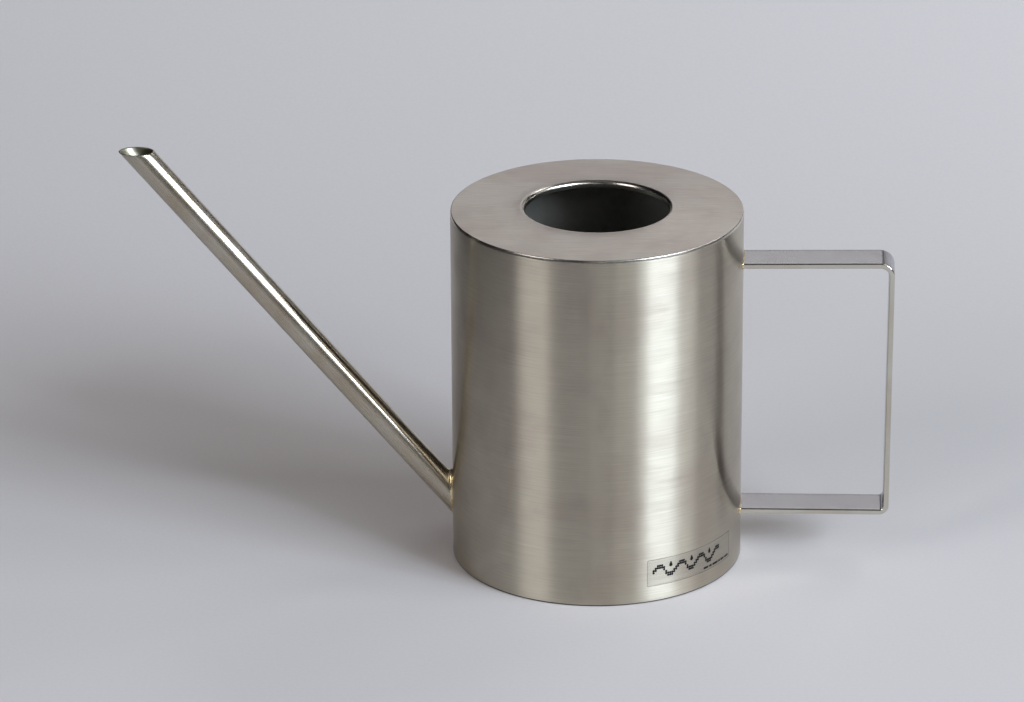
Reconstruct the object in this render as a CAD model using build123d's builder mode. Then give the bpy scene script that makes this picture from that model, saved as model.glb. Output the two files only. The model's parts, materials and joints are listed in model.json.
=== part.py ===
from build123d import *
import math
import os

# Indoor watering can: a welded stainless can with a straight pouring tube and a flat strap handle.
# Millimetres, +Z up. The origin is the centre of the base, on the surface that the can stands on.
# The spout points along -X, the handle along +X, and the label is on the front, -Y, near the handle.

# --- can ---
can_radius = 54.0          # outside of the rolled wall
can_height = 135.8         # outer corner of the top, before it is rounded
wall_sheet = 0.7           # rolled wall and top ring
base_sheet = 1.0           # flat floor of the can
foot_rounding = 0.3        # outer lower edge of the wall

# --- top ring and mouth ---
ring_skirt = 2.6           # turned down from the can's height to meet the wall
ring_rise = 1.2            # climb of the ring from its outer corner to the mouth
rim_rounding = 0.5         # outer corner of the ring
mouth_radius = 26.6        # bore of the turned-down lip
lip_rounding = 1.5         # top edge of the lip
lip_depth = 2.6            # from the top of the lip to the end of its collar

# --- spout ---
spout_radius = 5.0
spout_sheet = 0.6
spout_angle = 49.5         # degrees above the horizontal
spout_root_height = 21.0   # where the tube's axis meets the outside of the can
spout_tip_above = 20.2     # how far the level-cut tip stands above the can
spout_braze_radius = 1.1   # fillet of braze in the corner between tube and wall

# --- handle ---
strap_width = 15.0
strap_thickness = 2.0
strap_rounding = 0.45      # long edges of the flat bar
upper_arm_drop = 19.15     # from the can's height down to the middle of the upper arm's root
upper_arm_tilt = 0.92      # degrees that the arm climbs away from the can
lower_arm_height = 18.96   # middle of the lower arm's root
lower_arm_tilt = 0.25
grip_reach_top = 54.6      # from the can to the middle of the grip at its upper corner
grip_reach_bottom = 54.1   # the same at its lower corner
upper_bend_radius = 5.3    # outside of the bend
lower_bend_radius = 3.6
arm_braze_leg = 0.65       # each side of the braze bead, along the arm and along the wall

# --- label ---
film_thickness = 0.06
film_height = 10.6
film_above_foot = 6.4
film_start = 22.0          # degrees round the can, from the front towards the handle
film_end = 67.5

# --- worked out from the sizes above ---
wall_inside = can_radius - wall_sheet
wall_top = can_height - ring_skirt
lip_top = can_height + ring_rise
upper_arm_height = can_height - upper_arm_drop
spout_tip_height = can_height + spout_tip_above
spout_slope = math.radians(spout_angle)
spout_root = (-can_radius, 0, spout_root_height)
spout_direction = (-math.cos(spout_slope), 0, math.sin(spout_slope))
spout_inset = 2 * spout_radius
spout_reach = (spout_tip_height - spout_root_height) / math.sin(spout_slope) + 2 * spout_radius
spout_start = Plane(origin=spout_root, x_dir=(0, 1, 0), z_dir=spout_direction).offset(-spout_inset)
strap_start = can_radius - strap_width / 2
strap_corner_top = can_radius + grip_reach_top + strap_thickness / 2
strap_corner_bottom = can_radius + grip_reach_bottom + strap_thickness / 2
film_bearing = math.radians(film_start - 90)
film_edge = Plane(
    origin=(0, 0, film_above_foot),
    x_dir=(math.cos(film_bearing), math.sin(film_bearing), 0),
    z_dir=(math.sin(film_bearing), -math.cos(film_bearing), 0),
)


def upper_face(x):
    """Height of the upper arm's top face at a distance x from the can's axis."""
    climb = math.tan(math.radians(upper_arm_tilt)) * (x - can_radius)
    return upper_arm_height + climb + strap_thickness / 2


def lower_face(x):
    """Height of the lower arm's bottom face at a distance x from the can's axis."""
    climb = math.tan(math.radians(lower_arm_tilt)) * (x - can_radius)
    return lower_arm_height + climb - strap_thickness / 2


# --- plain shapes that the pieces are cut from and against ---
with BuildPart() as can_outside:
    Cylinder(can_radius, can_height, align=(Align.CENTER, Align.CENTER, Align.MIN))

with BuildPart() as can_inside:
    Cylinder(wall_inside, can_height, align=(Align.CENTER, Align.CENTER, Align.MIN))

with BuildPart() as spout_rod:
    with BuildSketch(spout_start):
        Circle(spout_radius)
    extrude(amount=spout_inset + spout_reach)

with BuildPart() as strap_bar:
    with BuildSketch(Plane.XZ):
        with BuildLine():
            FilletPolyline(
                (strap_start, upper_face(strap_start)),
                (strap_corner_top, upper_face(strap_corner_top)),
                (strap_corner_bottom, lower_face(strap_corner_bottom)),
                (strap_start, lower_face(strap_start)),
                radius=[upper_bend_radius, lower_bend_radius],
            )
            offset(amount=strap_thickness, side=Side.RIGHT, kind=Kind.INTERSECTION)
        make_face()
    extrude(amount=strap_width / 2, both=True)
    fillet(strap_bar.faces().filter_by(Axis.Y).edges(), strap_rounding)

# --- rolled wall, with the hole that the spout goes through ---
with BuildPart() as body_wall:
    with BuildSketch(Plane.XY):
        Circle(can_radius)
        Circle(wall_inside, mode=Mode.SUBTRACT)
    extrude(amount=wall_top)
    fillet(body_wall.edges().group_by(Axis.Z)[0].sort_by(SortBy.RADIUS)[-1], foot_rounding)
    add(spout_rod.part, mode=Mode.SUBTRACT)

# --- top ring: skirt, rounded corner, shallow cone and turned-down lip ---
with BuildPart() as top_ring:
    with BuildSketch(Plane.XZ):
        with BuildLine():
            FilletPolyline(
                (can_radius, wall_top),
                (can_radius, can_height),
                (mouth_radius, lip_top),
                (mouth_radius, lip_top - lip_depth),
                radius=[rim_rounding, lip_rounding],
            )
            offset(amount=wall_sheet, side=Side.LEFT, kind=Kind.INTERSECTION)
        make_face()
    revolve(axis=Axis.Z)

# --- flat base, set inside the wall and ground flush with its foot ---
with BuildPart() as base_plate:
    with BuildSketch(Plane.XY):
        Circle(wall_inside)
    extrude(amount=base_sheet)

# --- spout tube, let through the wall and cut level at the tip ---
with BuildPart() as spout_tube:
    add(spout_rod.part)
    with BuildSketch(spout_start):
        Circle(spout_radius - spout_sheet)
    extrude(amount=spout_inset + spout_reach, mode=Mode.SUBTRACT)
    split(bisect_by=Plane.XY.offset(spout_tip_height), keep=Keep.BOTTOM)
    add(can_inside.part, mode=Mode.SUBTRACT)

# --- handle strap: one flat bar with two bends, its ends coped to the wall ---
with BuildPart() as handle_strap:
    add(strap_bar.part)
    add(can_outside.part, mode=Mode.SUBTRACT)

# --- braze fillet all round the spout's root ---
with BuildPart() as spout_braze:
    add(can_outside.part)
    add(spout_rod.part)
    fillet(spout_braze.edges(Select.NEW), spout_braze_radius)
    add(can_outside.part, mode=Mode.SUBTRACT)
    add(spout_rod.part, mode=Mode.SUBTRACT)


def arm_braze(arm_height):
    """Braze bead all round the root of the arm at the given height."""
    with BuildPart() as arm_end:
        add(strap_bar.part)
        split(bisect_by=Plane.XY.offset(arm_height - strap_width / 2), keep=Keep.TOP)
        split(bisect_by=Plane.XY.offset(arm_height + strap_width / 2), keep=Keep.BOTTOM)
        split(bisect_by=Plane.YZ.offset(can_radius + grip_reach_top / 2), keep=Keep.BOTTOM)
    with BuildPart() as bead:
        add(can_outside.part)
        add(arm_end.part)
        chamfer(bead.edges(Select.NEW), arm_braze_leg)
        add(can_outside.part, mode=Mode.SUBTRACT)
        add(arm_end.part, mode=Mode.SUBTRACT)
    return bead


upper_arm_braze = arm_braze(upper_arm_height)
lower_arm_braze = arm_braze(lower_arm_height)

# --- clear label film, wrapped round the wall ---
with BuildPart() as label_film:
    with BuildSketch(film_edge):
        with Locations((can_radius, 0)):
            Rectangle(film_thickness, film_height, align=(Align.MIN, Align.MIN))
    revolve(axis=Axis.Z, revolution_arc=film_end - film_start)

# --- labels and files ---
pieces = {
    "body_wall": body_wall,
    "top_ring": top_ring,
    "base_plate": base_plate,
    "spout_tube": spout_tube,
    "spout_braze": spout_braze,
    "handle_strap": handle_strap,
    "upper_arm_braze": upper_arm_braze,
    "lower_arm_braze": lower_arm_braze,
    "label_film": label_film,
}

os.makedirs("parts", exist_ok=True)
for name, piece in pieces.items():
    piece.part.label = name
    export_step(piece.part, f"parts/{name}.step")
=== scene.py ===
"""Looks of the indoor watering can, built around its packed design.

Every piece of the can is a numpy surface laid exactly where the design has it, in metres, +Z up, with
the base's centre at the origin, the spout along -X and the handle along +X. The frame gives all sizes:
node boxes, mounts and the record. The room is a pale paper floor under plain soft boxes.
"""

import json
import logging
import math
from dataclasses import dataclass
from enum import Enum

import bmesh
import bpy
import numpy as np
from mathutils import Matrix, Vector


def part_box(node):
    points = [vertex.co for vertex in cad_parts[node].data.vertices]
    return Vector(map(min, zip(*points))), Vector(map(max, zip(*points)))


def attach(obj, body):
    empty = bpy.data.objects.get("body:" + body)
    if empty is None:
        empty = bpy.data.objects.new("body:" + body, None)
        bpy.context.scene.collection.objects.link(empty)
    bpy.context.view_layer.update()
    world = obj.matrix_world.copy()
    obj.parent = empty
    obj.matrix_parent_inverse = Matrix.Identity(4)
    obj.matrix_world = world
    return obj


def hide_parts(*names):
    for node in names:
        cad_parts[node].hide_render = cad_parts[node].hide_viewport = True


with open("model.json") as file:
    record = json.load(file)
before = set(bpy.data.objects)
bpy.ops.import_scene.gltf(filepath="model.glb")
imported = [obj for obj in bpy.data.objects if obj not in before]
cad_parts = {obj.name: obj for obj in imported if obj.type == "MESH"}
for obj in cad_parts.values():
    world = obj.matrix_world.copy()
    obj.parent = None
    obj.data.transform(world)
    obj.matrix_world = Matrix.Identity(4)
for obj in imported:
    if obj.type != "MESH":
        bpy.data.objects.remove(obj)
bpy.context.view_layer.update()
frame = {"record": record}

LOG = logging.getLogger("watering_can")
MM = 0.001
SMOOTH_LIMIT = math.radians(30)
FILM_THICKNESS = 0.06 * MM
BEAD_OVERLAP = 0.12 * MM

Array = np.ndarray
Pair = tuple[float, float]
Piece = bpy.types.Object
Material = bpy.types.Material
Tree = bpy.types.NodeTree
Socket = bpy.types.NodeSocket


# ---------------------------------------------------------------------------------------------- meshes


class Grain(Enum):
    """Direction in which a sheet, tube or bar was brushed."""

    ROUND = "round the can's axis"
    ALONG = "along the piece"
    SPUN = "along the piece, then buffed round it"
    STRAIGHT = "straight across the can, from the spout's side to the handle's"


def add_object(name: str, data: bpy.types.ID) -> Piece:
    """An object with the given mesh, light or camera data, linked to the scene."""
    made = bpy.data.objects.new(name, data)
    bpy.context.scene.collection.objects.link(made)
    return made


def put_mesh(name: str, points: Array, quads: Array, corner_uv: Array | None = None) -> Piece:
    """Make an object from whole arrays of points and four-sided faces.

    Points that coincide are merged, which closes seams and poles, and the closed surface is turned so
    that its signed volume is positive, which points every face outwards.

    Args:
        name: piece name.
        points: (n, 3) positions in metres.
        quads: (m, 4) point numbers.
        corner_uv: (m, 4, 2) coordinates of each face corner, in metres along and across the grain.

    Returns:
        The new object, linked to the scene, with smooth shading broken at its sharp edges.
    """
    a, b, c, d = (points[quads[:, k]] for k in range(4))
    volume = np.einsum("ij,ij->i", a, np.cross(b, c)).sum() + np.einsum("ij,ij->i", a, np.cross(c, d)).sum()
    if volume < 0:
        quads = quads[:, ::-1]
        corner_uv = None if corner_uv is None else corner_uv[:, ::-1]
    mesh = bpy.data.meshes.new(name)
    mesh.vertices.add(len(points))
    mesh.vertices.foreach_set("co", points.astype(np.float32).ravel())
    mesh.loops.add(quads.size)
    mesh.loops.foreach_set("vertex_index", quads.astype(np.int32).ravel())
    mesh.polygons.add(len(quads))
    mesh.polygons.foreach_set("loop_start", np.arange(0, quads.size, 4, dtype=np.int32))
    mesh.polygons.foreach_set("use_smooth", np.ones(len(quads), bool))
    mesh.update(calc_edges=True)
    if corner_uv is not None:
        mesh.uv_layers.new(name="grain").data.foreach_set("uv", corner_uv.astype(np.float32).ravel())
    shell = bmesh.new()
    shell.from_mesh(mesh)
    bmesh.ops.remove_doubles(shell, verts=shell.verts, dist=1e-7)
    shell.to_mesh(mesh)
    shell.free()
    mesh.validate()
    mesh.set_sharp_from_angle(angle=SMOOTH_LIMIT)
    return add_object(name, mesh)


def grid_faces(rows: int, cols: int, wrap_rows: bool, wrap_cols: bool) -> Array:
    """Four-sided faces of a grid of points numbered row by row, each side open or joined to its start."""
    i, j = np.meshgrid(
        np.arange(rows if wrap_rows else rows - 1), np.arange(cols if wrap_cols else cols - 1), indexing="ij"
    )
    i, j = i.ravel(), j.ravel()
    down, right = (i + 1) % rows, (j + 1) % cols
    return np.stack([i * cols + j, i * cols + right, down * cols + right, down * cols + j], axis=1)


def grid_uv(lengths: Array, widths: Array) -> Array:
    """Corner coordinates for grid_faces: running length along the rows and width along the columns."""
    u, v = np.meshgrid(lengths, widths, indexing="ij")
    uv = np.stack([u, v], axis=2)
    corners = [uv[:-1, :-1], uv[:-1, 1:], uv[1:, 1:], uv[1:, :-1]]
    return np.stack([c.reshape(-1, 2) for c in corners], axis=1)


def running(points: Array, closed: bool) -> Array:
    """Distance run along a line of points, with one more entry at the end where the line is closed."""
    line = np.vstack([points, points[:1]]) if closed else points
    return np.concatenate([[0.0], np.cumsum(np.linalg.norm(np.diff(line, axis=0), axis=1))])


def arc(centre: Pair, radius: float, start: float, end: float, count: int) -> Array:
    """Points on a circle in a plane, from one angle to another in degrees, both included."""
    turn = np.radians(np.linspace(start, end, count))
    return np.stack([centre[0] + radius * np.cos(turn), centre[1] + radius * np.sin(turn)], axis=1)


def straight(start: Array, end: Array, count: int) -> Array:
    """Evenly spaced points between two points, both left out."""
    share = np.linspace(0, 1, count + 2)[1:-1, None]
    return np.asarray(start) * (1 - share) + np.asarray(end) * share


def turned(name: str, profile: Array, columns: int, closed: bool) -> Piece:
    """A shape turned about the Z axis: x = r cos t, y = r sin t, for each (r, z) of the profile.

    Args:
        name: piece name.
        profile: (n, 2) radii and heights. A closed profile makes a ring; an open one starts and ends on
            the axis, where its points merge into poles.
        columns: steps round the axis.
        closed: whether the last profile point joins the first.

    Returns:
        The finished object.
    """
    turn = np.linspace(0, 2 * np.pi, columns, endpoint=False)
    points = np.stack(
        [
            profile[:, 0, None] * np.cos(turn),
            profile[:, 0, None] * np.sin(turn),
            np.repeat(profile[:, 1, None], columns, axis=1),
        ],
        axis=2,
    )
    around = np.linspace(0, 2 * np.pi, columns + 1) * profile[:, 0].max()
    uv = grid_uv(running(profile, closed), around)[:, :, ::-1]
    return put_mesh(name, points.reshape(-1, 3), grid_faces(len(profile), columns, closed, True), uv)


# --------------------------------------------------------------------------------------------- finishes


def linear(hex_colour: str) -> tuple[float, float, float, float]:
    """Turn an sRGB hex colour such as "#8A8F92" into the linear RGBA that sockets hold."""
    value = np.array([int(hex_colour[k : k + 2], 16) for k in (1, 3, 5)]) / 255
    light = np.where(value <= 0.04045, value / 12.92, ((value + 0.055) / 1.055) ** 2.4)
    return (*light.tolist(), 1.0)


def add_node(tree: Tree, kind: str, settings: dict | None = None, **inputs: object) -> bpy.types.Node:
    """Add a shader node, set its own settings, and fill or link its inputs.

    Args:
        tree: node tree of the material.
        kind: Blender's name of the node type, such as "ShaderNodeTexNoise".
        settings: attributes of the node itself.
        **inputs: socket name with underscores for spaces, or in0, in1 for a socket by number. A value is
            a constant or an output socket to link.

    Returns:
        The new node.
    """
    node = tree.nodes.new(kind)
    for name, value in (settings or {}).items():
        setattr(node, name, value)
    for name, value in inputs.items():
        numbered = name[:2] == "in" and name[2:].isdigit()
        socket = node.inputs[int(name[2:]) if numbered else name.replace("_", " ")]
        if isinstance(value, Socket):
            tree.links.new(value, socket)
        else:
            socket.default_value = value
    return node


def new_material(name: str) -> tuple[Material, Tree, Socket]:
    """An empty material, its tree, and the piece's own coordinates in metres."""
    material = bpy.data.materials.new(name)
    material.use_nodes = True
    tree = material.node_tree
    tree.nodes.clear()
    return material, tree, add_node(tree, "ShaderNodeTexCoord").outputs["Object"]


def noise(tree: Tree, place: Socket, size_mm: float, **inputs: float) -> Socket:
    """Noise whose features are about as large as the given size."""
    return add_node(tree, "ShaderNodeTexNoise", Vector=place, Scale=1 / (size_mm * MM), **inputs).outputs[0]


def ranged(tree: Tree, value: Socket, source: Pair, target: Pair) -> Socket:
    """Map a value from one range to another, held inside the second."""
    limits = {"in1": source[0], "in2": source[1], "in3": target[0], "in4": target[1]}
    return add_node(tree, "ShaderNodeMapRange", in0=value, **limits).outputs[0]


def blend(tree: Tree, share: Socket | float, first: object, second: object, way: str = "MIX") -> Socket:
    """Blend or multiply two colours, each a constant or a socket."""
    settings = {"data_type": "RGBA", "blend_type": way}
    return add_node(tree, "ShaderNodeMix", settings, in0=share, in6=first, in7=second).outputs[2]


def bumped(tree: Tree, height: Socket, depth_mm: float) -> Socket:
    """Normals of a surface with the given relief."""
    return add_node(tree, "ShaderNodeBump", Height=height, Distance=depth_mm * MM).outputs[0]


def surface(tree: Tree, **inputs: object) -> None:
    """Add the surface shader and join it to the material's output."""
    shader = add_node(tree, "ShaderNodeBsdfPrincipled", **inputs)
    add_node(tree, "ShaderNodeOutputMaterial", Surface=shader.outputs[0])


@dataclass(frozen=True)
class BrushedSteel:
    """Chromium-nickel stainless sheet, belt-brushed: fine parallel scratches that smear light across them.

    Attributes:
        name: material name.
        colour: steel in the open.
        cloud: colour of the faint brownish clouds left by polishing heat and fingers.
        cloud_share: how strongly the clouds tint.
        roughness: base roughness, before scratches and smudges vary it.
        stretch: how strongly light smears across the grain, 0 to 1.
        grain: brushing direction.
        scratch_length_mm: typical length of a scratch.
        scratch_pitch_mm: spacing of scratches. Real ones are finer; drawn as coarse as the eye resolves.
        scratch_depth_mm: depth of the drawn scratches.
        scratch_tone: how much scratches lighten and darken the metal.
        cloud_size_mm: typical width of a cloud.
        smudge_size_mm: typical width of a smudge.
        unevenness: roughness that a scratch or a smudge adds at most.
    """

    name: str
    colour: str = "#C8C0AF"
    cloud: str = "#B1A297"
    cloud_share: float = 0.4
    roughness: float = 0.31
    stretch: float = 1.0
    grain: Grain = Grain.ROUND
    scratch_length_mm: float = 18.0
    scratch_pitch_mm: float = 0.28
    scratch_depth_mm: float = 0.006
    scratch_tone: float = 0.1
    cloud_size_mm: float = 26.0
    smudge_size_mm: float = 7.0
    unevenness: float = 0.03

    def material(self) -> Material:
        """Build the node tree.

        Returns:
            Metal whose colour, roughness and bump all follow one stretched noise (the scratches). A slow
            noise (polishing clouds) also tints it, and small smudges dull it.
        """
        material, tree, place = new_material(self.name)
        where, scale, turn, tangent = self.brushing(tree, place)
        stretched = add_node(tree, "ShaderNodeMapping", Vector=where, Scale=tuple(s / MM for s in scale))
        scratches = add_node(
            tree, "ShaderNodeTexNoise", Vector=stretched.outputs[0], Scale=1.0, Detail=5.0, Roughness=0.6
        ).outputs[0]
        clouds = noise(tree, place, self.cloud_size_mm, Detail=4.0, Roughness=0.55, Distortion=0.6)
        cloudy = ranged(tree, clouds, (0.42, 0.66), (0.0, self.cloud_share))
        toned = blend(tree, cloudy, linear(self.colour), linear(self.cloud))
        tone = ranged(tree, scratches, (0.3, 0.7), (1 - self.scratch_tone, 1 + self.scratch_tone))
        smooth, dull = self.roughness - self.unevenness, self.roughness + self.unevenness
        rough = ranged(tree, scratches, (0.3, 0.7), (smooth, dull))
        smudges = noise(tree, place, self.smudge_size_mm, Detail=3.0, Roughness=0.5)
        smudged = ranged(tree, smudges, (0.45, 0.75), (0.0, self.unevenness))
        rougher = add_node(tree, "ShaderNodeMath", {"operation": "ADD"}, in0=rough, in1=smudged)
        surface(
            tree,
            Base_Color=blend(tree, 1.0, toned, tone, "MULTIPLY"),
            Metallic=1.0,
            Roughness=rougher.outputs[0],
            Anisotropic=self.stretch,
            Anisotropic_Rotation=turn,
            Tangent=tangent,
            Normal=bumped(tree, scratches, self.scratch_depth_mm),
        )
        return material

    def brushing(self, tree: Tree, place: Socket) -> tuple[Socket, tuple[float, ...], float, Socket]:
        """How the grain runs: its coordinates, their scale in 1/mm, the smear's turn and the tangent."""
        long, fine = 1 / self.scratch_length_mm, 1 / self.scratch_pitch_mm
        if self.grain in (Grain.ROUND, Grain.STRAIGHT):
            scale = (long, long if self.grain is Grain.ROUND else fine, fine)
            radial = add_node(tree, "ShaderNodeTangent", {"direction_type": "RADIAL", "axis": "Z"})
            return place, scale, 0.25, radial.outputs[0]
        along = add_node(tree, "ShaderNodeUVMap", {"uv_map": "grain"}).outputs["UV"]
        tangent = add_node(tree, "ShaderNodeTangent", {"direction_type": "UV_MAP", "uv_map": "grain"})
        return along, (long, fine, 1.0), 0.0 if self.grain is Grain.SPUN else 0.25, tangent.outputs[0]


@dataclass(frozen=True)
class MillSteel:
    """Stainless sheet as it came from the rolling mill, inside the can: dull, grey, water-stained."""

    name: str = "mill_finish_stainless"
    colour: str = "#B2B1AA"
    stain: str = "#96938A"
    roughness: float = 0.42

    def material(self) -> Material:
        """Build the node tree: two noises mix the sheet's colour and roughness with dried-water stains."""
        material, tree, place = new_material(self.name)
        stains = noise(tree, place, 14, Detail=6.0, Roughness=0.6)
        stained = ranged(tree, stains, (0.45, 0.62), (0.0, 0.7))
        surface(
            tree,
            Base_Color=blend(tree, stained, linear(self.colour), linear(self.stain)),
            Metallic=1.0,
            Roughness=ranged(tree, stains, (0.3, 0.7), (self.roughness - 0.08, self.roughness + 0.1)),
            Normal=bumped(tree, noise(tree, place, 0.6, Detail=3.0), 0.01),
        )
        return material


@dataclass(frozen=True)
class SilverBraze:
    """Silver brazing alloy, wire-brushed clean: pale gold, bright, slightly lumpy, with brown heat tint."""

    name: str = "silver_braze_alloy"
    colour: str = "#EDDFBB"
    tint: str = "#AF9363"
    roughness: float = 0.2

    def material(self) -> Material:
        """Build the node tree: fine lumps bump the bead, and a noise browns it in patches."""
        material, tree, place = new_material(self.name)
        patches = noise(tree, place, 2.2, Detail=4.0)
        browned = ranged(tree, patches, (0.4, 0.65), (0.0, 0.8))
        surface(
            tree,
            Base_Color=blend(tree, browned, linear(self.colour), linear(self.tint)),
            Metallic=1.0,
            Roughness=ranged(tree, patches, (0.3, 0.7), (self.roughness - 0.06, self.roughness + 0.16)),
            Normal=bumped(tree, noise(tree, place, 0.9, Detail=3.0), 0.08),
        )
        return material


@dataclass(frozen=True)
class ClearFilm:
    """Clear polyester label film: hardly tints the steel but dulls its brushing and catches soft light."""

    name: str = "clear_polyester_film"
    colour: str = "#8A857C"
    roughness: float = 0.3
    cover: float = 0.16

    def material(self) -> Material:
        """Build the node tree: see-through film mixed with a thin satin skin that has tiny ripples."""
        material, tree, place = new_material(self.name)
        ripples = noise(tree, place, 3, Detail=2.0)
        surface(
            tree,
            Base_Color=linear(self.colour),
            Roughness=ranged(tree, ripples, (0.3, 0.7), (self.roughness - 0.05, self.roughness + 0.1)),
            Alpha=self.cover,
            Normal=bumped(tree, ripples, 0.01),
        )
        return material


@dataclass(frozen=True)
class ScreenInk:
    """Black screen-printing ink on film: near-black, satin, with a faint grey mottle."""

    name: str = "black_screen_ink"
    colour: str = "#121111"
    worn: str = "#2A2826"
    roughness: float = 0.45

    def material(self) -> Material:
        """Build the node tree: a fine noise mottles the ink's colour and roughness."""
        material, tree, place = new_material(self.name)
        mottle = noise(tree, place, 0.4, Detail=3.0)
        mottled = ranged(tree, mottle, (0.45, 0.7), (0.0, 0.6))
        surface(
            tree,
            Base_Color=blend(tree, mottled, linear(self.colour), linear(self.worn)),
            Roughness=ranged(tree, mottle, (0.0, 1.0), (self.roughness - 0.1, self.roughness + 0.1)),
            Specular_IOR_Level=0.2,
        )
        return material


@dataclass(frozen=True)
class PaperSweep:
    """Seamless studio paper: pale grey, matt, with a barely visible tooth."""

    name: str = "studio_paper"
    colour: str = "#D6D0CE"
    roughness: float = 0.9

    def material(self) -> Material:
        """Build the node tree: one fine noise gives the paper its tooth."""
        material, tree, place = new_material(self.name)
        tooth = ranged(tree, noise(tree, place, 1.5, Detail=3.0), (0.3, 0.7), (0.985, 1.015))
        surface(
            tree,
            Base_Color=blend(tree, 1.0, linear(self.colour), tooth, "MULTIPLY"),
            Roughness=self.roughness,
            Specular_IOR_Level=0.2,
        )
        return material


def dress(piece: Piece, finish: Material, slot: str, *nodes: str) -> None:
    """Give a piece its material and its place in the frame, and report it."""
    piece.data.materials.clear()
    piece.data.materials.append(finish)
    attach(piece, "root")
    if nodes:
        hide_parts(*nodes)
    LOG.info("%s: %d points, %s", piece.name, len(piece.data.vertices), finish.name)


def face_vectors(piece: Piece, kind: str) -> Array:
    """The centres or the normals of a piece's faces, as (n, 3)."""
    values = np.empty(3 * len(piece.data.polygons))
    piece.data.polygons.foreach_get(kind, values)
    return values.reshape(-1, 3)


def paint(piece: Piece, chosen: Array, finish: Material) -> None:
    """Give the chosen faces one more material and leave the others as they are."""
    index = np.empty(len(chosen), np.int32)
    piece.data.polygons.foreach_get("material_index", index)
    index[chosen] = len(piece.data.materials)
    piece.data.materials.append(finish)
    piece.data.polygons.foreach_set("material_index", index)


# ----------------------------------------------------------------------------------------- design sizes


def unit(vectors: Array) -> Array:
    """Vectors scaled to length one."""
    return vectors / np.linalg.norm(vectors, axis=-1, keepdims=True)


def reach_cylinder(points: Array, direction: Array, radius: float | Array) -> Array:
    """Distance that each point runs along a direction until it is a given radius from the Z axis.

    It is the root of (p + s d)^2 = R^2, taken in x and y only, on the side that the direction leaves.

    Args:
        points: (..., 3) starting points.
        direction: (3,) unit vector leading away from the axis.
        radius: radius to reach, one for all or one for each point.

    Returns:
        (...) distances, negative where a point has to run back.
    """
    a = direction[0] ** 2 + direction[1] ** 2
    b = points[..., 0] * direction[0] + points[..., 1] * direction[1]
    c = points[..., 0] ** 2 + points[..., 1] ** 2 - radius**2
    return (-b + np.sqrt(b**2 - a * c)) / a


@dataclass(frozen=True)
class Design:
    """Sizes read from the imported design, in metres."""

    radius: float
    inside: float
    wall_top: float
    base_sheet: float
    lip_top: float
    mouth_radius: float
    spout_radius: float
    spout_bore: float
    spout_axis: Array
    spout_point: Array
    spout_tip: float
    strap_width: float
    film_low: float
    film_high: float
    film_radius: float

    @classmethod
    def from_frame(cls) -> "Design":
        """Read node boxes and mounts."""
        wall, base, ring, tube = (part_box(n) for n in ("body_wall", "base_plate", "top_ring", "spout_tube"))
        strap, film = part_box("handle_strap"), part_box("label_film")
        mounts = {m["name"]: m for m in frame["record"]["mounts"]}
        bore, mouth = mounts["spout_outlet_bore"], mounts["fill_mouth"]
        return cls(
            radius=wall[1].x,
            inside=base[1].x,
            wall_top=wall[1].z,
            base_sheet=base[1].z,
            lip_top=ring[1].z,
            mouth_radius=mouth["dims"]["r_mm"] * MM,
            spout_radius=tube[1].y,
            spout_bore=bore["dims"]["r_mm"] * MM,
            spout_axis=unit(np.array(bore["axis"])),
            spout_point=np.array(bore["pos_m"]),
            spout_tip=tube[1].z,
            strap_width=strap[1].y - strap[0].y,
            film_low=film[0].z,
            film_high=film[1].z,
            film_radius=wall[1].x + FILM_THICKNESS,
        )

    def tube_ring(self, radius: float, turn: Array) -> Array:
        """Circle of points round the spout's axis, at the axis point that the frame gives."""
        side = np.array([0.0, 1.0, 0.0])
        over = np.cross(self.spout_axis, side)
        return self.spout_point + radius * (np.cos(turn)[:, None] * side + np.sin(turn)[:, None] * over)


# --------------------------------------------------------------------------------------------- the can


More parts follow.
